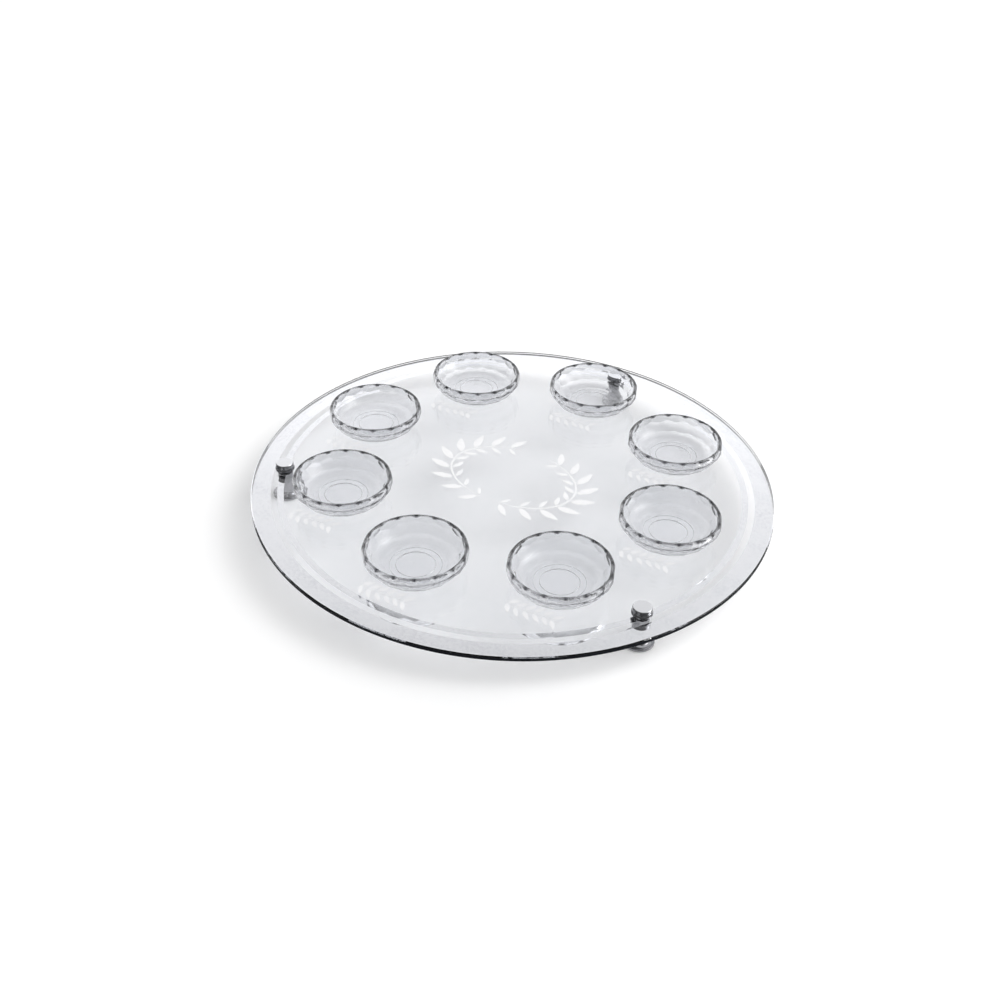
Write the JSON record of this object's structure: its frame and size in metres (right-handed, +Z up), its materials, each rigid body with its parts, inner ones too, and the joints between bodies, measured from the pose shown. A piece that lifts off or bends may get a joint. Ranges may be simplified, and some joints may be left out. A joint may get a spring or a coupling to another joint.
{
  "type": "rosh hashanah plate",
  "caption": "Round clear glass serving plate on short screwed chrome legs, with a ring of loose faceted glass bowls that lift off, for small portions of symbolic foods.",
  "frame": {"origin": "on the table under the centre of the plate", "axes": "+Z up, +Y towards the back leg, +X to the right of it"},
  "size_m": [0.3999, 0.4, 0.045],
  "materials": {
    "plate_glass": "clear flat glass with a ground and polished edge",
    "bowl_glass": "clear pressed glass, fire-polished",
    "silvering": "mirror silvering and white-silver print on the underside of the glass",
    "chrome": "dark polished chrome plate",
    "stud_steel": "plain steel thread",
    "gasket": "black rubber",
    "sleeve": "natural nylon",
    "pad": "soft clear silicone"
  },
  "bodies": {
    "stand": {"plate": "plate_glass", "cap_back": "chrome", "cap_left": "chrome", "cap_right": "chrome", "upper_gasket_back": "gasket", "upper_gasket_left": "gasket", "upper_gasket_right": "gasket", "sleeve_back": "sleeve", "sleeve_left": "sleeve", "sleeve_right": "sleeve", "lower_gasket_back": "gasket", "lower_gasket_left": "gasket", "lower_gasket_right": "gasket", "stud_back": "stud_steel", "stud_left": "stud_steel", "stud_right": "stud_steel", "foot_back": "chrome", "foot_left": "chrome", "foot_right": "chrome", "pad_back": "pad", "pad_left": "pad", "pad_right": "pad"},
    "bowl_1": {"bowl_1": "bowl_glass"},
    "bowl_2": {"bowl_2": "bowl_glass"},
    "bowl_3": {"bowl_3": "bowl_glass"},
    "bowl_4": {"bowl_4": "bowl_glass"},
    "bowl_5": {"bowl_5": "bowl_glass"},
    "bowl_6": {"bowl_6": "bowl_glass"},
    "bowl_7": {"bowl_7": "bowl_glass"},
    "bowl_8": {"bowl_8": "bowl_glass"}
  },
  "joints": [
    {"name": "bowl_1_lift", "type": "slide", "parent": "stand", "child": "bowl_1", "axis": [0, 0, 1], "range_m": [0, 0.06]},
    {"name": "bowl_2_lift", "type": "slide", "parent": "stand", "child": "bowl_2", "axis": [0, 0, 1], "range_m": [0, 0.06]},
    {"name": "bowl_3_lift", "type": "slide", "parent": "stand", "child": "bowl_3", "axis": [0, 0, 1], "range_m": [0, 0.06]},
    {"name": "bowl_4_lift", "type": "slide", "parent": "stand", "child": "bowl_4", "axis": [0, 0, 1], "range_m": [0, 0.06]},
    {"name": "bowl_5_lift", "type": "slide", "parent": "stand", "child": "bowl_5", "axis": [0, 0, 1], "range_m": [0, 0.06]},
    {"name": "bowl_6_lift", "type": "slide", "parent": "stand", "child": "bowl_6", "axis": [0, 0, 1], "range_m": [0, 0.06]},
    {"name": "bowl_7_lift", "type": "slide", "parent": "stand", "child": "bowl_7", "axis": [0, 0, 1], "range_m": [0, 0.06]},
    {"name": "bowl_8_lift", "type": "slide", "parent": "stand", "child": "bowl_8", "axis": [0, 0, 1], "range_m": [0, 0.06]}
  ]
}
